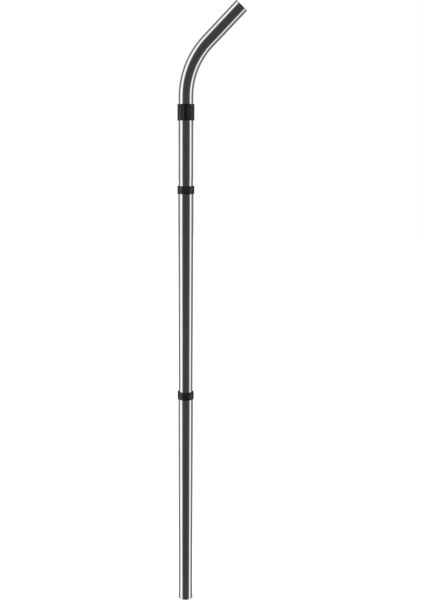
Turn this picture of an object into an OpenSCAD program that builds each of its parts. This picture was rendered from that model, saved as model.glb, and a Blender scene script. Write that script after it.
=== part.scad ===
// Push-fit tube pole with a swivelling gooseneck.
// The pole stands on the origin, +Z runs up its axis and the gooseneck leans towards +X.

/* [Straight sections] */
// Length of each straight tube
tube_len = 600; // [400:10:900]
// Depth to which a spigot sits in the socket below
insert_len = 40; // [30:1:50]
// Outside diameter of the wide socket end
socket_d = 40; // [39:0.1:42]
// Wall thickness at both ends of a tube
wall = 1.2; // [1:0.05:1.3]
// Radial clearance of a spigot in its socket
fit_gap = 0.08; // [0.02:0.01:0.1]
// Length of the straight spigot at a tube's lower end
spigot_len = 62; // [56:1:80]

/* [Joint rings] */
// Outside diameter of a joint ring
ring_d = 44.4; // [44:0.1:48]
// How far a joint ring reaches down over the tube
ring_below = 13; // [10:0.5:20]
// How far a joint ring stands above the tube's rim
ring_above = 8; // [8:0.5:12]
// Rounding of a joint ring's outer corners, measured across the wall
ring_round = 1.3; // [0.5:0.1:1.4]
// Rounding of a joint ring's outer corners, measured along the pole
ring_round_h = 2.6; // [0.5:0.1:3.5]

/* [Stem] */
// Outside diameter of the stem between ring and coupler
stem_d = 38.4; // [38.2:0.1:38.8]
// Stem length from its lower end to the shoulder in the coupler
stem_len = 237; // [150:1:400]
// Length of the reduced journal that the gooseneck turns on
journal_len = 28; // [24:1:36]

/* [Gooseneck] */
// Outside diameter of the gooseneck tube
neck_d = 38; // [37.8:0.1:38]
// Bend angle
bend_deg = 45; // [20:1:60]
// Bend radius on the centreline
bend_r = 195; // [120:1:300]
// Straight length between the coupler and the bend
neck_rise = 18.5; // [5:0.5:80]
// Straight length after the bend
outlet_len = 122; // [60:1:250]

/* [Lock coupler] */
// Outside diameter of the lock sleeve
lock_d = 44.2; // [44:0.1:48]
// Overall height of the coupler
lock_h = 42; // [40:1:60]
// Height of the band at the coupler's lower end
lock_cap_h = 4; // [3:0.5:5]
// Number of grip flutes
flutes = 15; // [9:1:18]
// Depth of a grip flute
flute_depth = 0.6; // [0.2:0.05:0.7]
// Radius of the cutter that leaves a flute
flute_cut_r = 4; // [2:0.1:6]
// Turn of the flute pattern about the pole
flute_phase = 18; // [0:1:24]

/* [Hidden] */
$fn = 96;

cut = 1;                    // how far a cutter runs past the face it cuts
clear = 0.3;                // gap between parts that move past each other
seat_gap = 0.1;             // gap between faces that rest or turn on each other

// Straight sections
socket_r = socket_d / 2;
socket_bore_r = socket_r - wall;
spigot_r = socket_bore_r - fit_gap;
spigot_bore_r = spigot_r - wall;
stop_gap = 0.4;             // play between a spigot's end and the socket's shoulder
stop_depth = insert_len + stop_gap;
stop_step = 0.6;            // how far the shoulder stands in from the socket's bore
socket_len = 48;            // straight stretch at a tube's wide end
lower_rim = tube_len;
middle_base = lower_rim - insert_len;
middle_rim = middle_base + tube_len;
stem_base = middle_rim - insert_len;

// Joint rings, in heights above the tube's rim
ring_r = ring_d / 2;
ring_mouth_r = spigot_r + clear + seat_gap;
ring_floor = 1.2;           // flange that sits on the tube's rim
ring_cavity_r = ring_r - 1.5;
seal_bottom = ring_floor + seat_gap;
seal_top = 5;
seal_r = ring_cavity_r - fit_gap;
seal_lip_r = spigot_r + 0.05;
seal_wall = 0.75;           // thickness of the seal's standing outer wall
retainer_bottom = seal_top + 0.2;
retainer_h = 2.2;
retainer_chamfer = 0.4;
arc_steps = 6;              // segments in a rounded corner

// Stem
stem_r = stem_d / 2;
stem_cone = 6;              // height of the cone between spigot and stem
shoulder_z = stem_base + stem_len;
neck_r = neck_d / 2;
neck_bore_r = neck_r - wall;
journal_r = neck_bore_r - fit_gap;
journal_bore_r = journal_r - 1.5;
swage_h = 4;                // height of the inside cone under the shoulder
o_ring_z = shoulder_z + 21;
o_ring_groove = 0.8;        // depth of the groove
o_ring_r = 0.4;             // radius of the ring's section
o_ring_seat_r = journal_r - o_ring_groove;

// Gooseneck
washer_h = 1;
neck_base = shoulder_z + washer_h + seat_gap;
lock_base = shoulder_z - 20;
lock_top = lock_base + lock_h;
bend_z = lock_top + neck_rise;

// Collet and cam
lobes = 3;
lobe_offset = 0.4;          // how far each lobe's circle stands off the axis
collet_lobe_r = neck_r + 0.55;
cam_lobe_r = collet_lobe_r + lobe_offset / 2 + 0.05;
collet_ring_r = 19.9;
collet_base = lock_base + lock_cap_h + 0.4;
collet_top = lock_top - 4.5;
collet_grip_r = neck_r + 0.05;
slits = 6;
slit_w = 1.2;
slit_base = shoulder_z + 3;
bead_z = shoulder_z + 9;    // middle of the bead that keeps the gooseneck in
bead_h = 1.6;
bead_r = neck_r - 0.3;
groove_r = bead_r - seat_gap;
cam_r = 20.9;
cam_bore_r = collet_ring_r + clear + seat_gap;
cam_base = lock_base + lock_cap_h + 2.2;
cam_top = lock_top - 4.2;
cam_lobe_base = shoulder_z + 1;

// Lock sleeve and cap
lock_r = lock_d / 2;
sleeve_base = lock_base + lock_cap_h + 0.2;
lip_base = lock_top - 4;
lip_r = neck_r + clear;
cap_mouth_r = stem_r + clear;
cap_spigot_r = cam_r - 0.6;
lock_edge = 0.8;            // rounding of the coupler's outer corners
seam_edge = 0.5;            // bevel on both sides of a seam line
flute_base = sleeve_base + 3.5;
flute_axis_r = lock_r - flute_depth + flute_cut_r;
bevel_z = lock_top - 3;     // height of the groove near the top of the sleeve

metal = [0.80, 0.80, 0.81];
black = [0.05, 0.05, 0.055];
rubber_black = [0.09, 0.09, 0.09];
nylon = [0.86, 0.85, 0.82];

// Points of a quarter ellipse with its centre at c, rx wide and rz high, from angle a to a + 90
function quarter(c, rx, rz, a) = [
    for (i = [0 : arc_steps])
        let (t = a + 90 * i / arc_steps)
            c + [rx * cos(t), rz * sin(t)]
];

// A straight tapered section: spigot at the bottom, socket at the top
module section_tube(base) {
    translate([0, 0, base])
        rotate_extrude()
            polygon([
                [spigot_bore_r, 0],
                [spigot_r, 0],
                [spigot_r, spigot_len],
                [socket_r, tube_len - socket_len],
                [socket_r, tube_len],
                [socket_bore_r, tube_len],
                [socket_bore_r, tube_len - stop_depth],
                [socket_bore_r - stop_step, tube_len - stop_depth - stop_step],
                [spigot_bore_r, spigot_len]
            ]);
}

// Ring pressed over a socket; its floor sits on the tube's rim
module joint_ring(rim) {
    low = [ring_r - ring_round, ring_round_h - ring_below];
    high = [ring_r - ring_round, ring_above - ring_round_h];
    translate([0, 0, rim])
        rotate_extrude()
            polygon(concat(
                [[socket_r, -ring_below]],
                quarter(low, ring_round, ring_round_h, -90),
                quarter(high, ring_round, ring_round_h, 0),
                [
                    [ring_cavity_r, ring_above],
                    [ring_cavity_r, ring_floor],
                    [ring_mouth_r, ring_floor],
                    [ring_mouth_r, 0],
                    [socket_r, 0]
                ]
            ));
}

// Lip seal that stands in the ring's cavity and wipes the spigot
module lip_seal(rim) {
    heel_r = seal_lip_r + 0.85;
    root_z = seal_bottom + 1.7;
    tip_z = seal_top - 0.4;
    translate([0, 0, rim])
        rotate_extrude()
            polygon([
                [heel_r, seal_bottom],
                [seal_r, seal_bottom],
                [seal_r, seal_top],
                [seal_r - seal_wall, seal_top],
                [seal_r - seal_wall, root_z],
                [seal_lip_r + 0.2, tip_z],
                [seal_lip_r, tip_z - 0.2],
                [seal_lip_r, tip_z - 0.7]
            ]);
}

// Ring that snaps in above the seal
module seal_retainer(rim) {
    top = retainer_bottom + retainer_h;
    translate([0, 0, rim])
        rotate_extrude()
            polygon([
                [ring_mouth_r, retainer_bottom],
                [ring_cavity_r, retainer_bottom],
                [ring_cavity_r, top],
                [ring_mouth_r + retainer_chamfer, top],
                [ring_mouth_r, top - retainer_chamfer]
            ]);
}

// Union of circles whose centres stand off the axis, one for each lobe
module lobed(r, base, top, turn) {
    for (i = [0 : lobes - 1])
        rotate(turn + i * 360 / lobes)
            translate([lobe_offset, 0, base])
                cylinder(r = r, h = top - base);
}

// Bent tube: a straight rise, the bend, and a straight outlet
module bent_tube(r_out, r_in) {
    translate([0, 0, neck_base])
        pipe(r_out, r_in, bend_z - neck_base);
    translate([bend_r, 0, bend_z]) {
        rotate([90, 0, 0])
            rotate([0, 0, 180 - bend_deg])
                rotate_extrude(angle = bend_deg)
                    translate([bend_r, 0])
                        difference() {
                            circle(r = r_out);
                            circle(r = r_in);
                        }
        rotate([0, bend_deg, 0])
            translate([-bend_r, 0, 0])
                pipe(r_out, r_in, outlet_len);
    }
}

// Straight pipe standing on z = 0
module pipe(r_out, r_in, h) {
    difference() {
        cylinder(r = r_out, h = h);
        translate([0, 0, -cut])
            cylinder(r = r_in, h = h + 2 * cut);
    }
}

module lower_tube() {
    color(metal) section_tube(0);
}

module middle_tube() {
    color(metal) section_tube(middle_base);
}

module joint_ring_lower() {
    color(black) joint_ring(lower_rim);
}

module joint_ring_upper() {
    color(black) joint_ring(middle_rim);
}

module seal_lower() {
    color(rubber_black) lip_seal(lower_rim);
}

module seal_upper() {
    color(rubber_black) lip_seal(middle_rim);
}

module seal_retainer_lower() {
    color(black) seal_retainer(lower_rim);
}

module seal_retainer_upper() {
    color(black) seal_retainer(middle_rim);
}

// Spigot, straight stem, shoulder, and the journal with its groove
module stem_tube() {
    top = stem_len + journal_len;
    groove_z = o_ring_z - stem_base;
    groove_half = o_ring_r + seat_gap;
    color(metal)
        translate([0, 0, stem_base])
            rotate_extrude()
                polygon([
                    [spigot_bore_r, 0],
                    [spigot_r, 0],
                    [spigot_r, spigot_len],
                    [stem_r, spigot_len + stem_cone],
                    [stem_r, stem_len],
                    [journal_r, stem_len],
                    [journal_r, groove_z - groove_half],
                    [o_ring_seat_r, groove_z - groove_half],
                    [o_ring_seat_r, groove_z + groove_half],
                    [journal_r, groove_z + groove_half],
                    [journal_r, top],
                    [journal_bore_r, top],
                    [journal_bore_r, stem_len - 1],
                    [stem_r - wall, stem_len - 1 - swage_h],
                    [stem_r - wall, spigot_len + stem_cone],
                    [spigot_bore_r, spigot_len]
                ]);
}

// Ring bonded to the stem, with split lobed fingers and an inner bead
module collet() {
    color(nylon)
        difference() {
            union() {
                translate([0, 0, collet_base])
                    cylinder(r = collet_ring_r, h = shoulder_z - collet_base);
                lobed(collet_lobe_r, shoulder_z, collet_top, 0);
            }
            translate([0, 0, collet_base - cut])
                cylinder(r = stem_r, h = shoulder_z - collet_base + cut);
            translate([0, 0, shoulder_z - cut])
                cylinder(r = collet_grip_r, h = bead_z - bead_h / 2 - shoulder_z + cut);
            translate([0, 0, bead_z - bead_h])
                cylinder(r = bead_r, h = 2 * bead_h);
            translate([0, 0, bead_z + bead_h / 2])
                cylinder(r = collet_grip_r, h = collet_top - bead_z);
            for (i = [0 : slits - 1])
                rotate(30 + i * 360 / slits)
                    translate([neck_r - cut, -slit_w / 2, slit_base])
                        cube([4, slit_w, collet_top - slit_base + cut]);
        }
}

module thrust_washer() {
    color(nylon)
        translate([0, 0, shoulder_z])
            pipe(neck_r, journal_r, washer_h);
}

module journal_o_ring() {
    color(rubber_black)
        translate([0, 0, o_ring_z])
            rotate_extrude()
                translate([neck_bore_r - 0.05 - o_ring_r, 0])
                    circle(r = o_ring_r, $fn = 32);
}

// Fluted grip with an inner lip over the collet and a bevelled line near its top
module lock_sleeve() {
    color(black)
        difference() {
            rotate_extrude()
                polygon(concat(
                    [
                        [cam_r, sleeve_base],
                        [lock_r - seam_edge, sleeve_base],
                        [lock_r, sleeve_base + seam_edge],
                        [lock_r, bevel_z - seam_edge],
                        [lock_r - seam_edge, bevel_z],
                        [lock_r, bevel_z + seam_edge]
                    ],
                    quarter([lock_r - lock_edge, lock_top - lock_edge], lock_edge, lock_edge, 0),
                    [
                        [lip_r, lock_top],
                        [lip_r, lip_base],
                        [cam_r, lip_base]
                    ]
                ));
            for (i = [0 : flutes - 1])
                rotate(flute_phase + i * 360 / flutes)
                    translate([flute_axis_r, 0, flute_base]) {
                        cylinder(r = flute_cut_r, h = bevel_z - flute_base);
                        sphere(r = flute_cut_r);
                    }
        }
}

// Hard ring bonded in the sleeve; its lobes clear the collet's after a 60 degree turn
module cam_ring() {
    color(nylon)
        difference() {
            translate([0, 0, cam_base])
                cylinder(r = cam_r, h = cam_top - cam_base);
            translate([0, 0, cam_base - cut])
                cylinder(r = cam_bore_r, h = cam_lobe_base - cam_base + cut);
            lobed(cam_lobe_r, cam_lobe_base - cut, cam_top + cut, 180 / lobes);
        }
}

// Band under the sleeve that keeps it on the collet
module lock_cap() {
    top = lock_base + lock_cap_h;
    color(black)
        rotate_extrude()
            polygon(concat(
                [[cap_mouth_r, lock_base]],
                quarter([lock_r - lock_edge, lock_base + lock_edge], lock_edge, lock_edge, -90),
                [
                    [lock_r, top - seam_edge],
                    [lock_r - seam_edge, top],
                    [cam_r, top],
                    [cam_r, cam_base - 0.2],
                    [cap_spigot_r, cam_base - 0.2],
                    [cap_spigot_r, top],
                    [cap_mouth_r, top]
                ]
            ));
}

// Bent tube with a shallow outside groove for the collet's bead
module gooseneck_tube() {
    groove_h = bead_h + 2 * clear;
    color(metal)
        difference() {
            bent_tube(neck_r, neck_bore_r);
            translate([0, 0, bead_z - groove_h / 2])
                rotate_extrude()
                    translate([groove_r, 0])
                        square([neck_r - groove_r + cut, groove_h]);
        }
}

lower_tube();
joint_ring_lower();
seal_lower();
seal_retainer_lower();
middle_tube();
joint_ring_upper();
seal_upper();
seal_retainer_upper();
stem_tube();
collet();
thrust_washer();
journal_o_ring();
lock_sleeve();
cam_ring();
lock_cap();
gooseneck_tube();
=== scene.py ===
"""Push-fit cleaning pole: bright tapered tubes, black joint rings, a fluted lock coupler and a bent neck."""

import math

import bpy
from mathutils import Matrix, Vector


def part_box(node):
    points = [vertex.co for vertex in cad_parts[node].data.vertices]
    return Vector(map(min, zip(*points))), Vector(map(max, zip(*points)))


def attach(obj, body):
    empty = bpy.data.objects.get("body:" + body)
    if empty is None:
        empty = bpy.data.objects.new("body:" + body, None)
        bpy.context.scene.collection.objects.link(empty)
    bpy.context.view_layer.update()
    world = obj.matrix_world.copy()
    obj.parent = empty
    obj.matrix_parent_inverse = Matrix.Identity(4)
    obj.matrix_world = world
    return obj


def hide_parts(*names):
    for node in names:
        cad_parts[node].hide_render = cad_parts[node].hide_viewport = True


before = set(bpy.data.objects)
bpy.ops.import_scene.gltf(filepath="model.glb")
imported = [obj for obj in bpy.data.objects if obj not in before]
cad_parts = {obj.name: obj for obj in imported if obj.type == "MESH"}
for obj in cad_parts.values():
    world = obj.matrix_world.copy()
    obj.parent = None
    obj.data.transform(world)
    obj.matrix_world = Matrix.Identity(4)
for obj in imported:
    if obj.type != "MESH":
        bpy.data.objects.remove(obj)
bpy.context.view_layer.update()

MM = 0.001

# Facts of the tubes that their outer boxes don't show, as the CAD has them
WALL = 1.2 * MM
FIT_GAP = 0.08 * MM
SEAT_GAP = 0.1 * MM
CLEAR = 0.3 * MM
SPIGOT_LEN = 62 * MM
SOCKET_LEN = 48 * MM
STOP_GAP = 0.4 * MM
STOP_STEP = 0.6 * MM
STEM_CONE = 6 * MM
SWAGE_H = 4 * MM
JOURNAL_WALL = 1.5 * MM
BEND_R = 195 * MM
BEND_ANGLE = math.radians(45)
NECK_RISE = 18.5 * MM
OUTLET_LEN = 122 * MM
RIM_ROUND = 0.35 * MM          # deburred edge of a cut tube
TAPER_SOFT = 8 * MM            # rounding where a tube's taper meets its spigot and socket
CONE_SOFT = 1 * MM             # the same on the stem's short cone
SWAGE_DROP = 1 * MM            # how far below its shoulder the stem starts to narrow inside
O_RING_GROOVE = 0.8 * MM       # depth of the journal's groove
BEAD_RISE = 9 * MM             # middle of the collet's bead above the stem's shoulder
BEAD_H = 1.6 * MM

# Joint rings
RING_CAVITY_IN = 1.5 * MM      # how far the seal's cavity stays inside the ring's outside
RING_FLOOR = 1.2 * MM
RING_ROUND = 1.3 * MM
RING_ROUND_H = 2.6 * MM
RETAINER_CHAMFER = 0.4 * MM
RETAINER_ROUND = 0.1 * MM
RETAINER_EDGE = 0.15 * MM

# Lip seals
SEAL_GAP = 0.05 * MM           # lip to spigot
SEAL_HEEL = 0.85 * MM          # how far outside its lip the seal's foot starts
SEAL_FOOT_ROUND = 0.2 * MM
SEAL_WALL = 0.75 * MM
SEAL_FLOOR = 1.7 * MM
SEAL_EDGE = 0.15 * MM
LIP_ROUND = 0.05 * MM
LIP_BACK = 0.2 * MM            # thickness of the lip's tip
LIP_TIP = 0.4 * MM             # depth of the lip's back corner below the seal's top
LIP_LAND_TOP = 0.6 * MM        # depths of the two ends of the land that faces the spigot
LIP_LAND_FOOT = 1.1 * MM

# Lock coupler
FLUTES = 15
FLUTE_DEPTH = 0.6 * MM
FLUTE_CUT_R = 4 * MM
FLUTE_PHASE = math.radians(18)
FLUTE_SOFT = 1.6 * MM          # rounding of the edge between flute and land
LOCK_EDGE = 0.8 * MM
SEAM_EDGE = 0.5 * MM
LIP_H = 4 * MM
CAM_WALL_OUT = 1.2 * MM        # sleeve's wall outside the cam ring
FLUTE_RISE = 3.5 * MM          # where the flutes' straight part starts above the sleeve's foot
BEVEL_DROP = 3 * MM            # line round the sleeve, below its top
BEVEL_SOFT = 0.2 * MM
SEAM_SOFT = 0.12 * MM
MOUTH_SOFT = 0.3 * MM
CAP_H = 4 * MM
REGISTER_WALL = 0.6 * MM

# How finely the meshes are cut
AROUND = 192                   # segments around a tube or ring
FLUTE_SEGMENTS = 36            # segments around one flute and its land
TUBE_STEP = 20 * MM            # longest faces along a tube, the neck and the sleeve
NECK_STEP = 2.5 * MM
SLEEVE_STEP = 0.6 * MM
TINY = 0.001 * MM              # keeps a zero distance out of a division


def low(node):
    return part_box(node)[0]


def high(node):
    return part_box(node)[1]


socket_r = high("lower_tube").x
tube_len = high("lower_tube").z - low("lower_tube").z
insert_len = high("lower_tube").z - low("middle_tube").z
socket_bore_r = socket_r - WALL
spigot_r = socket_bore_r - FIT_GAP
spigot_bore_r = spigot_r - WALL
stem_r = high("stem_tube").x
neck_r = high("thrust_washer").x
neck_bore_r = neck_r - WALL
journal_r = neck_bore_r - FIT_GAP
shoulder_z = low("thrust_washer").z
neck_base = low("gooseneck_tube").z
lock_top = high("lock_sleeve").z
lock_base = low("lock_cap").z
lock_r = high("lock_cap").x
bend_z = lock_top + NECK_RISE
neck_len = (bend_z - neck_base) + BEND_R * BEND_ANGLE + OUTLET_LEN


# ---------------------------------------------------------------- profiles

def arc_corner(before, corner, after, size, steps=5):
    """Points that round a corner with an arc that leaves it by size along both sides."""
    c = Vector(corner)
    a = c + (Vector(before) - c).normalized() * size
    b = c + (Vector(after) - c).normalized() * size
    points = []
    for i in range(steps + 1):
        t = i / steps
        points.append(tuple(a * (1 - t) ** 2 + c * (2 * t * (1 - t)) + b * t ** 2))
    return points


def rounded(corners):
    """Closed outline from (r, z) or (r, z, rounding) corners."""
    points = []
    count = len(corners)
    for i, corner in enumerate(corners):
        if len(corner) == 2:
            points.append(corner)
            continue
        before = corners[i - 1][:2]
        after = corners[(i + 1) % count][:2]
        points.extend(arc_corner(before, corner[:2], after, corner[2]))
    return points


def quarter(centre, rx, rz, start, steps=10):
    """Quarter ellipse in the (r, z) plane."""
    points = []
    for i in range(steps + 1):
        t = math.radians(start + 90 * i / steps)
        points.append((centre[0] + rx * math.cos(t), centre[1] + rz * math.sin(t)))
    return points


def divided(points, step):
    """The same closed outline with its long sides cut into pieces no longer than step."""
    out = []
    count = len(points)
    for i, p in enumerate(points):
        q = points[(i + 1) % count]
        pieces = max(1, math.ceil(math.dist(p, q) / step))
        for k in range(pieces):
            t = k / pieces
            out.append((p[0] + (q[0] - p[0]) * t, p[1] + (q[1] - p[1]) * t))
    return out


# ---------------------------------------------------------------- meshes

def add_object(name, verts, faces, straight, bore, sharp_deg=32):
    """Mesh object with smooth shading.

    Its unbent coordinates, and how far each point belongs to the bore, are kept for the materials.
    """
    mesh = bpy.data.meshes.new(name)
    mesh.from_pydata(verts, [], faces)
    mesh.update()
    attribute = mesh.attributes.new("straight", "FLOAT_VECTOR", "POINT")
    attribute.data.foreach_set("vector", [c for p in straight for c in p])
    mesh.attributes.new("bore", "FLOAT", "POINT").data.foreach_set("value", bore)
    mesh.shade_smooth()
    mesh.set_sharp_from_angle(angle=math.radians(sharp_deg))
    obj = bpy.data.objects.new(name, mesh)
    bpy.context.scene.collection.objects.link(obj)
    return obj


def bore_shares(outline):
    """For each point of an outline that runs up its outside: 1 where it runs down, inside the piece, or 0."""
    shares = []
    count = len(outline)
    for i in range(count):
        before = outline[i - 1]
        after = outline[(i + 1) % count]
        fall = (before[1] - after[1]) / max(math.dist(before, after), TINY)
        shares.append(min(max(2 * fall - 0.5, 0.0), 1.0))
    return shares


def lathe(name, outline, around=AROUND, radius=None, place=None):
    """Closed (r, z) outline turned about the pole's axis.

    radius(r, z, angle) may change a point's radius, and place(point) may bend the result.
    """
    verts = []
    for r, z in outline:
        for k in range(around):
            angle = 2 * math.pi * k / around
            rr = radius(r, z, angle) if radius else r
            verts.append((rr * math.cos(angle), rr * math.sin(angle), z))
    rows = len(outline)
    faces = []
    for i in range(rows):
        j = (i + 1) % rows
        for k in range(around):
            m = (k + 1) % around
            faces.append((i * around + k, i * around + m, j * around + m, j * around + k))
    bent = [place(v) for v in verts] if place else verts
    bore = [share for share in bore_shares(outline) for _ in range(around)]
    return add_object(name, bent, faces, verts, bore)


def bend_point(p):
    """Moves a point of the straight neck, measured up from its lower end, onto the bent neck."""
    x, y, s = p
    z = neck_base + s
    if z <= bend_z:
        return (x, y, z)
    angle = min((z - bend_z) / BEND_R, BEND_ANGLE)
    past = max(0.0, z - bend_z - BEND_R * BEND_ANGLE)
    reach = BEND_R - x
    return (
        BEND_R - reach * math.cos(angle) + past * math.sin(angle),
        y,
        bend_z + reach * math.sin(angle) + past * math.cos(angle),
    )


# ---------------------------------------------------------------- pieces

def section_tube(node):
    """Tapered tube: narrow spigot at the bottom, wide socket with a stop shoulder at the top."""
    base = low(node).z
    stop = tube_len - insert_len - STOP_GAP
    shoulder_r = socket_bore_r - STOP_STEP
    corners = [
        (spigot_bore_r, 0, RIM_ROUND),
        (spigot_r, 0, RIM_ROUND),
        (spigot_r, SPIGOT_LEN, TAPER_SOFT),
        (socket_r, tube_len - SOCKET_LEN, TAPER_SOFT),
        (socket_r, tube_len, RIM_ROUND),
        (socket_bore_r, tube_len, RIM_ROUND),
        (socket_bore_r, stop),
        (shoulder_r, stop - STOP_STEP),
        (spigot_bore_r, SPIGOT_LEN),
    ]
    outline = [(r, base + z) for r, z in rounded(corners)]
    return lathe(node + "_skin", divided(outline, TUBE_STEP))


def stem():
    """Spigot, straight stem, shoulder and the journal that the gooseneck turns on."""
    base = low("stem_tube").z
    top = high("stem_tube").z
    groove_low = low("journal_o_ring").z - SEAT_GAP
    groove_high = high("journal_o_ring").z + SEAT_GAP
    groove_r = journal_r - O_RING_GROOVE
    journal_bore_r = journal_r - JOURNAL_WALL
    cone_top = base + SPIGOT_LEN + STEM_CONE
    swage_top = shoulder_z - SWAGE_DROP
    corners = [
        (spigot_bore_r, base, RIM_ROUND),
        (spigot_r, base, RIM_ROUND),
        (spigot_r, base + SPIGOT_LEN, CONE_SOFT),
        (stem_r, cone_top, CONE_SOFT),
        (stem_r, shoulder_z, RIM_ROUND),
        (journal_r, shoulder_z),
        (journal_r, groove_low),
        (groove_r, groove_low),
        (groove_r, groove_high),
        (journal_r, groove_high),
        (journal_r, top, RIM_ROUND),
        (journal_bore_r, top, RIM_ROUND),
        (journal_bore_r, swage_top),
        (stem_r - WALL, swage_top - SWAGE_H),
        (stem_r - WALL, cone_top),
        (spigot_bore_r, base + SPIGOT_LEN),
    ]
    return lathe("stem_tube_skin", divided(rounded(corners), TUBE_STEP))


def gooseneck():
    """Bent neck tube with deburred ends and the shallow groove for the collet's bead."""
    bead = shoulder_z + BEAD_RISE - neck_base
    groove_h = BEAD_H + 2 * CLEAR
    groove_r = neck_r - CLEAR - SEAT_GAP
    corners = [
        (neck_bore_r, 0, RIM_ROUND),
        (neck_r, 0, RIM_ROUND),
        (neck_r, bead - groove_h / 2),
        (groove_r, bead - groove_h / 2),
        (groove_r, bead + groove_h / 2),
        (neck_r, bead + groove_h / 2),
        (neck_r, neck_len, RIM_ROUND),
        (neck_bore_r, neck_len, RIM_ROUND),
    ]
    return lathe("gooseneck_tube_skin", divided(rounded(corners), NECK_STEP), place=bend_point)


def joint_ring(node, tube):
    """Moulded ring over a socket, with the seal's cavity open at its top."""
    bottom = low(node).z
    top = high(node).z
    rim = high(tube).z
    ring_r = high(node).x
    cavity_r = ring_r - RING_CAVITY_IN
    mouth_r = spigot_r + CLEAR + SEAT_GAP
    outline = [(socket_r, bottom)]
    outline += quarter((ring_r - RING_ROUND, bottom + RING_ROUND_H), RING_ROUND, RING_ROUND_H, -90)
    outline += quarter((ring_r - RING_ROUND, top - RING_ROUND_H), RING_ROUND, RING_ROUND_H, 0)
    outline += [
        (cavity_r, top),
        (cavity_r, rim + RING_FLOOR),
        (mouth_r, rim + RING_FLOOR),
        (mouth_r, rim),
        (socket_r, rim),
    ]
    return lathe(node + "_skin", outline)


def seal(node):
    """Lip seal: a standing outer wall and a lip that leans in to the spigot."""
    bottom = low(node).z
    top = high(node).z
    outer_r = high(node).x
    lip_r = spigot_r + SEAL_GAP
    corners = [
        (lip_r + SEAL_HEEL, bottom, SEAL_FOOT_ROUND),
        (outer_r, bottom, SEAL_FOOT_ROUND),
        (outer_r, top, SEAL_EDGE),
        (outer_r - SEAL_WALL, top, SEAL_EDGE),
        (outer_r - SEAL_WALL, bottom + SEAL_FLOOR, SEAL_EDGE),
        (lip_r + LIP_BACK, top - LIP_TIP, LIP_ROUND),
        (lip_r, top - LIP_LAND_TOP, LIP_ROUND),
        (lip_r, top - LIP_LAND_FOOT, LIP_ROUND),
    ]
    return lathe(node + "_skin", rounded(corners))


def retainer(node):
    """Snap-in ring above the seal, bevelled towards the tube."""
    bottom = low(node).z
    top = high(node).z
    outer_r = high(node).x
    mouth_r = spigot_r + CLEAR + SEAT_GAP
    corners = [
        (mouth_r, bottom, RETAINER_ROUND),
        (outer_r, bottom),
        (outer_r, top, RETAINER_EDGE),
        (mouth_r + RETAINER_CHAMFER, top, RETAINER_ROUND),
        (mouth_r, top - RETAINER_CHAMFER, RETAINER_ROUND),
    ]
    return lathe(node + "_skin", rounded(corners))


def flute_radius(z, angle, flute_base):
    """Radius left by the nearest flute's round cutter at this height and angle, or None beside it."""
    pitch = 2 * math.pi / FLUTES
    off = (angle - FLUTE_PHASE + pitch / 2) % pitch - pitch / 2
    below = max(0.0, flute_base - z)
    if below >= FLUTE_CUT_R:
        return None
    cut_r = math.sqrt(FLUTE_CUT_R ** 2 - below ** 2)
    axis_r = lock_r - FLUTE_DEPTH + FLUTE_CUT_R
    side = axis_r * math.sin(off)
    if abs(side) >= cut_r:
        return None
    return axis_r * math.cos(off) - math.sqrt(cut_r ** 2 - side ** 2)


def soft_min(a, b, soft):
    """The smaller of two lengths, with the change from one to the other rounded."""
    h = max(soft - abs(a - b), 0.0) / soft
    return min(a, b) - h * h * soft / 4


def lock_sleeve():
    """Fluted grip of the coupler, with a bevelled line near its top and an inner lip."""
    base = low("lock_sleeve").z
    flute_base = base + FLUTE_RISE
    bevel_z = lock_top - BEVEL_DROP
    inner_r = lock_r - CAM_WALL_OUT
    seam_r = lock_r - SEAM_EDGE
    lip_r = neck_r + CLEAR
    outline = [(inner_r, base)]
    outline += arc_corner((inner_r, base), (seam_r, base), (lock_r, base + SEAM_EDGE), SEAM_SOFT)
    outline += arc_corner((seam_r, base), (lock_r, base + SEAM_EDGE), (lock_r, bevel_z), BEVEL_SOFT)
    outline += arc_corner((lock_r, base), (lock_r, bevel_z - SEAM_EDGE), (seam_r, bevel_z), BEVEL_SOFT)
    outline += [(seam_r, bevel_z)]
    outline += arc_corner((seam_r, bevel_z), (lock_r, bevel_z + SEAM_EDGE), (lock_r, lock_top), BEVEL_SOFT)
    outline += quarter((lock_r - LOCK_EDGE, lock_top - LOCK_EDGE), LOCK_EDGE, LOCK_EDGE, 0)
    outline += arc_corner((lock_r, lock_top), (lip_r, lock_top), (lip_r, base), MOUTH_SOFT)
    outline += [(lip_r, lock_top - LIP_H), (inner_r, lock_top - LIP_H)]

    def radius(r, z, angle):
        if r < inner_r + FLUTE_DEPTH / 2 or z > bevel_z:
            return r
        cut = flute_radius(z, angle, flute_base)
        return r if cut is None else soft_min(r, cut, FLUTE_SOFT)

    fine = divided(outline, SLEEVE_STEP)
    return lathe("lock_sleeve_skin", fine, around=FLUTES * FLUTE_SEGMENTS, radius=radius)


def lock_cap():
    """Band that closes the sleeve from below, with a register that fits inside it."""
    top = lock_base + CAP_H
    register_top = high("lock_cap").z
    mouth_r = stem_r + CLEAR
    inner_r = lock_r - CAM_WALL_OUT
    register_r = inner_r - REGISTER_WALL
    seam_r = lock_r - SEAM_EDGE
    outline = arc_corner((mouth_r, top), (mouth_r, lock_base), (lock_r, lock_base), MOUTH_SOFT)
    outline += quarter((lock_r - LOCK_EDGE, lock_base + LOCK_EDGE), LOCK_EDGE, LOCK_EDGE, -90)
    outline += arc_corner((lock_r, lock_base), (lock_r, top - SEAM_EDGE), (seam_r, top), BEVEL_SOFT)
    outline += arc_corner((lock_r, top - SEAM_EDGE), (seam_r, top), (inner_r, top), SEAM_SOFT)
    outline += [
        (inner_r, top),
        (inner_r, register_top),
        (register_r, register_top),
        (register_r, top),
        (mouth_r, top),
    ]
    return lathe("lock_cap_skin", outline)


# ---------------------------------------------------------------- materials

RECESS_DEPTH = 1 * MM              # how far in a moulded piece's skin is at its dullest


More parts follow.
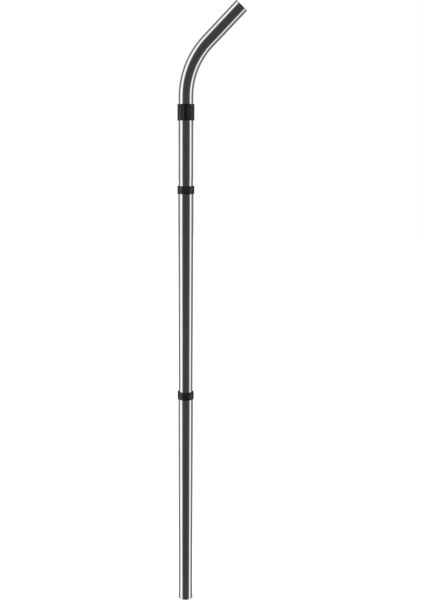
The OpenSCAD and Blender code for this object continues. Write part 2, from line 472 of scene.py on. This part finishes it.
class Nodes:
    """A short way to write a material's nodes and links."""

    def __init__(self, name):
        self.material = bpy.data.materials.new(name)
        self.material.use_nodes = True
        self.tree = self.material.node_tree
        self.shader = self.tree.nodes["Principled BSDF"]

    def add(self, kind, inputs=None, **settings):
        node = self.tree.nodes.new("ShaderNode" + kind)
        for key, value in settings.items():
            setattr(node, key, value)
        for key, value in (inputs or {}).items():
            if isinstance(value, bpy.types.NodeSocket):
                self.tree.links.new(value, node.inputs[key])
            else:
                node.inputs[key].default_value = value
        return node

    def link(self, output, socket):
        self.tree.links.new(output, self.shader.inputs[socket])

    def coords(self, scale, straight):
        """Coordinates in metres times scale: the unbent ones where the piece has them."""
        if straight:
            source = self.add("Attribute", attribute_name="straight").outputs["Vector"]
        else:
            source = self.add("TexCoord").outputs["Object"]
        return self.add("Mapping", {"Vector": source, "Scale": scale}).outputs["Vector"]

    def noise(self, scale, detail=3.0, rough=0.55, straight=True):
        vector = self.coords(scale, straight)
        inputs = {"Vector": vector, "Scale": 1.0, "Detail": detail, "Roughness": rough}
        return self.add("TexNoise", inputs).outputs["Fac"]

    def ramp(self, fac, stops, kind="LINEAR"):
        """Colour ramp from (position, value) stops, where a value is a grey or an RGB colour."""
        node = self.add("ValToRGB", {"Fac": fac})
        node.color_ramp.interpolation = kind
        elements = node.color_ramp.elements
        while len(elements) < len(stops):
            elements.new(0.5)
        for element, (position, value) in zip(elements, stops):
            element.position = position
            colour = value if isinstance(value, tuple) else (value, value, value)
            element.color = (*colour, 1.0)
        return node.outputs["Color"]

    def math(self, operation, a, b):
        return self.add("Math", {0: a, 1: b}, operation=operation).outputs[0]

    def mixed(self, share, a, b):
        """Colour a where share is 0 and colour b where it is 1."""
        return self.add("MixRGB", {"Fac": share, "Color1": a, "Color2": b}).outputs["Color"]

    def inside(self, outer_r, depth):
        """0 on a surface at outer_r from the pole's axis, rising to 1 at depth inside it."""
        flat = self.coords((1, 1, 0), straight=True)
        radius = self.add("VectorMath", {0: flat}, operation="LENGTH").outputs["Value"]
        reach = {"From Min": outer_r - depth, "From Max": outer_r, "To Min": 1.0, "To Max": 0.0}
        return self.add("MapRange", {"Value": radius, **reach}).outputs["Result"]

    def bump(self, height, distance, strength, normal=None):
        inputs = {"Height": height, "Distance": distance, "Strength": strength}
        if normal is not None:
            inputs["Normal"] = normal
        return self.add("Bump", inputs).outputs["Normal"]


def bright_metal():
    """Polished plated tube: lengthwise polishing lines, a few fine scratches, faint haze and rub rings.

    The bore keeps the dull grey skin of drawn tube.
    """
    n = Nodes("bright_metal")
    lines = n.noise((2600, 2600, 9), detail=4)
    haze = n.noise((28, 28, 7), detail=3)
    rubs = n.noise((5, 5, 1500), detail=2)
    scratches = n.ramp(n.noise((1500, 1500, 22), detail=1), [(0.70, 0.0), (0.74, 1.0)])
    tone = n.ramp(haze, [(0.30, (0.70, 0.70, 0.715)), (0.70, (0.79, 0.79, 0.80))])
    bore = n.add("Attribute", attribute_name="bore").outputs["Fac"]
    drawn_lines = n.noise((240, 240, 40), detail=4)
    drawn = n.ramp(drawn_lines, [(0.35, (0.40, 0.395, 0.39)), (0.70, (0.56, 0.555, 0.55))])
    n.link(n.mixed(bore, tone, drawn), "Base Color")
    fine = n.ramp(lines, [(0.35, 0.055), (0.65, 0.105)])
    patch = n.ramp(haze, [(0.45, 0.0), (0.75, 0.045)])
    mark = n.math("MULTIPLY", scratches, 0.12)
    dull = n.math("MULTIPLY", bore, 0.42)
    n.link(n.math("ADD", n.math("ADD", fine, patch), n.math("ADD", mark, dull)), "Roughness")
    normal = n.bump(lines, 0.00001, 0.4)
    n.link(n.bump(rubs, 0.000004, 0.25, normal), "Normal")
    n.shader.inputs["Metallic"].default_value = 1.0
    return n.material


def gloss_black(name, rough, grain, base, outer_r):
    """Moulded black: slight orange peel and a fine grain, rubbed smooth where hands reach its outside.

    Recesses further inside than outer_r keep a duller skin.
    """
    n = Nodes(name)
    peel = n.noise((260, 260, 260), detail=2)
    fine = n.noise((grain, grain, grain), detail=3)
    hands = n.noise((55, 55, 55), detail=3)
    tone = n.ramp(hands, [(0.35, (base, base, base * 1.08)), (0.70, (base * 1.8, base * 1.8, base * 1.9))])
    n.link(tone, "Base Color")
    patch = n.ramp(hands, [(0.35, rough - 0.05), (0.75, rough + 0.06)])
    speck = n.ramp(fine, [(0.55, 0.0), (0.80, 0.05)])
    recess = n.math("MULTIPLY", n.inside(outer_r, RECESS_DEPTH), 0.16)
    n.link(n.math("ADD", n.math("ADD", patch, speck), recess), "Roughness")
    normal = n.bump(peel, 0.00006, 0.25)
    n.link(n.bump(fine, 0.00002, 0.35, normal), "Normal")
    n.shader.inputs["IOR"].default_value = 1.5
    return n.material


def seal_rubber():
    """Matt black rubber with a dry bloom."""
    n = Nodes("seal_rubber")
    grain = n.noise((900, 900, 900), detail=4)
    bloom = n.noise((120, 120, 120), detail=3)
    n.link(n.ramp(bloom, [(0.35, (0.020, 0.020, 0.020)), (0.75, (0.045, 0.045, 0.044))]), "Base Color")
    n.link(n.ramp(grain, [(0.3, 0.62), (0.7, 0.80)]), "Roughness")
    n.link(n.bump(grain, 0.00003, 0.4), "Normal")
    return n.material


def natural_nylon():
    """Off-white nylon, faintly mottled, with a satin moulded skin."""
    n = Nodes("natural_nylon")
    mottle = n.noise((90, 90, 90), detail=4, straight=False)
    grain = n.noise((1200, 1200, 1200), detail=3, straight=False)
    n.link(n.ramp(mottle, [(0.3, (0.62, 0.60, 0.55)), (0.7, (0.74, 0.73, 0.68))]), "Base Color")
    n.link(n.ramp(grain, [(0.3, 0.38), (0.7, 0.52)]), "Roughness")
    n.link(n.bump(grain, 0.00002, 0.25), "Normal")
    return n.material


def o_ring_rubber():
    """The O-ring keeps its CAD mesh, so its rubber reads object coordinates."""
    n = Nodes("o_ring_rubber")
    grain = n.noise((1400, 1400, 1400), detail=4, straight=False)
    n.link(n.ramp(grain, [(0.35, (0.018, 0.018, 0.018)), (0.75, (0.038, 0.038, 0.037))]), "Base Color")
    n.link(n.ramp(grain, [(0.3, 0.50), (0.7, 0.68)]), "Roughness")
    n.link(n.bump(grain, 0.00001, 0.3), "Normal")
    return n.material


def floor_paint():
    """Pale studio floor with a barely seen mottle."""
    n = Nodes("pale_floor")
    mottle = n.noise((3, 3, 3), detail=4, straight=False)
    n.link(n.ramp(mottle, [(0.3, (0.93, 0.93, 0.93)), (0.7, (0.96, 0.96, 0.96))]), "Base Color")
    n.link(n.ramp(mottle, [(0.3, 0.75), (0.7, 0.85)]), "Roughness")
    return n.material


# ---------------------------------------------------------------- studio

CAMERA_TURN = math.radians(12)     # camera stands this far round from -Y towards +X
CAMERA_REACH = 2.488               # level distance from the pole's axis
CAMERA_HEIGHT = 1.3235
CAMERA_DOWN = math.radians(10.5)
CAMERA_ROLL = math.radians(0.05)
FOCAL_SHARE = 940 / 600            # focal length over the picture's height
FRAME_SHIFT = 0.0437               # the pole stands left of the picture's middle


def place_camera():
    data = bpy.data.cameras.new("camera")
    data.sensor_fit = "AUTO"
    data.lens = data.sensor_width * FOCAL_SHARE
    data.shift_x = FRAME_SHIFT
    data.dof.use_dof = False
    camera = bpy.data.objects.new("camera", data)
    turn = Matrix.Rotation(CAMERA_TURN, 4, "Z")
    tilt = Matrix.Rotation(math.pi / 2 - CAMERA_DOWN, 4, "X")
    roll = Matrix.Rotation(CAMERA_ROLL, 4, "Z")
    place = Matrix.Translation((0, -CAMERA_REACH, CAMERA_HEIGHT))
    camera.matrix_world = turn @ place @ tilt @ roll
    bpy.context.scene.collection.objects.link(camera)
    bpy.context.scene.camera = camera


ROOM = 1.4                         # brightness of the white room, which mirrors don't show
MIRRORED_ROOM = 0.2                # the dim room that mirrors show between the panels
DARK_END = 0.06                    # its dark end, where the camera stands
DARK_END_REACH = math.radians(90)

FLOOR_HALF = 9.0                   # half the floor's side

# Tall soft panels: degrees to the right of the camera, half width and soft edge in degrees, brightness
PANELS = [(-80, 8, 22, 1.1), (80, 4, 16, 1.1)]


def studio_world():
    """White room, with a tall soft panel at each side of a dim one for the glossy surfaces to mirror."""
    world = bpy.data.worlds.new("studio")
    bpy.context.scene.world = world
    world.cycles.sampling_method = "NONE"
    world.use_nodes = True
    tree = world.node_tree
    tree.nodes.clear()

    def add(kind, **settings):
        node = tree.nodes.new("ShaderNode" + kind)
        for key, value in settings.items():
            setattr(node, key, value)
        return node

    def join(output, target):
        tree.links.new(output, target)

    def light(strength):
        node = add("Background")
        node.inputs["Color"].default_value = (1, 1, 1, 1)
        node.inputs["Strength"].default_value = strength
        return node

    def choose(flag, otherwise, chosen):
        mix = add("MixShader")
        join(path.outputs[flag], mix.inputs[0])
        join(otherwise.outputs[0], mix.inputs[1])
        join(chosen.outputs[0], mix.inputs[2])
        return mix

    def glow(bearing, inner, outer, far, near):
        """Brightness that goes smoothly from far, outer away from a bearing, to near, inner away from it."""
        turn = CAMERA_TURN + bearing - math.pi / 2
        facing = add("VectorMath", operation="DOT_PRODUCT")
        join(level.outputs["Vector"], facing.inputs[0])
        facing.inputs[1].default_value = (math.cos(turn), math.sin(turn), 0)
        blend = add("MapRange", interpolation_type="SMOOTHSTEP")
        join(facing.outputs["Value"], blend.inputs["Value"])
        blend.inputs["From Min"].default_value = math.cos(outer)
        blend.inputs["From Max"].default_value = math.cos(inner)
        blend.inputs["To Min"].default_value = far
        blend.inputs["To Max"].default_value = near
        return blend.outputs["Result"]

    where = add("TexCoord")
    flat = add("VectorMath", operation="MULTIPLY")
    join(where.outputs["Generated"], flat.inputs[0])
    flat.inputs[1].default_value = (1, 1, 0)
    level = add("VectorMath", operation="NORMALIZE")
    join(flat.outputs["Vector"], level.inputs[0])
    total = glow(0, 0, DARK_END_REACH, MIRRORED_ROOM, DARK_END)
    for bearing, half, edge, strength in PANELS:
        inner = math.radians(half)
        outer = math.radians(half + edge)
        both = add("Math", operation="ADD")
        join(total, both.inputs[0])
        join(glow(math.radians(bearing), inner, outer, 0, strength), both.inputs[1])
        total = both.outputs[0]
    mirrored = light(1)
    join(total, mirrored.inputs["Strength"])

    path = add("LightPath")
    lit = choose("Is Glossy Ray", light(ROOM), mirrored)
    seen = choose("Is Camera Ray", lit, light(1))
    out = add("OutputWorld")
    join(seen.outputs[0], out.inputs["Surface"])


def studio_floor():
    """Large pale floor under the pole's lower end, left out of mirror reflections."""
    half = FLOOR_HALF
    corners = [(-half, -half, 0), (half, -half, 0), (half, half, 0), (-half, half, 0)]
    mesh = bpy.data.meshes.new("floor")
    mesh.from_pydata(corners, [], [(0, 1, 2, 3)])
    floor = bpy.data.objects.new("floor", mesh)
    bpy.context.scene.collection.objects.link(floor)
    floor.data.materials.append(floor_paint())
    floor.visible_glossy = False


# ---------------------------------------------------------------- assembly

def show(piece, node, body, material):
    """The finished piece stands for a CAD node, rides on its body and takes its material."""
    piece.data.materials.append(material)
    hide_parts(node)
    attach(piece, body)


def repaint(node, material):
    """A CAD node that keeps its own mesh gets a better material."""
    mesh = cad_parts[node].data
    mesh.materials.clear()
    mesh.materials.append(material)


def build():
    metal = bright_metal()
    ring_black = gloss_black("ring_black", rough=0.35, grain=2600, base=0.006, outer_r=lock_r)
    grip_black = gloss_black("grip_black", rough=0.25, grain=3200, base=0.004, outer_r=lock_r)
    rubber = seal_rubber()
    nylon = natural_nylon()

    show(section_tube("lower_tube"), "lower_tube", "lower_section", metal)
    show(section_tube("middle_tube"), "middle_tube", "middle_section", metal)
    show(stem(), "stem_tube", "stem", metal)
    show(gooseneck(), "gooseneck_tube", "gooseneck", metal)
    for end, body, seal_body in (
        ("lower", "lower_section", "lower_seal"),
        ("upper", "middle_section", "upper_seal"),
    ):
        ring = "joint_ring_" + end
        tube = "lower_tube" if end == "lower" else "middle_tube"
        show(joint_ring(ring, tube), ring, body, ring_black)
        cover = "seal_retainer_" + end
        show(retainer(cover), cover, body, ring_black)
        show(seal("seal_" + end), "seal_" + end, seal_body, rubber)
    show(lock_sleeve(), "lock_sleeve", "lock_collar", grip_black)
    show(lock_cap(), "lock_cap", "lock_collar", ring_black)
    for node in ("collet", "cam_ring", "thrust_washer"):
        repaint(node, nylon)
    repaint("journal_o_ring", o_ring_rubber())


place_camera()
build()
studio_floor()
studio_world()
bpy.context.scene.view_settings.view_transform = "Standard"
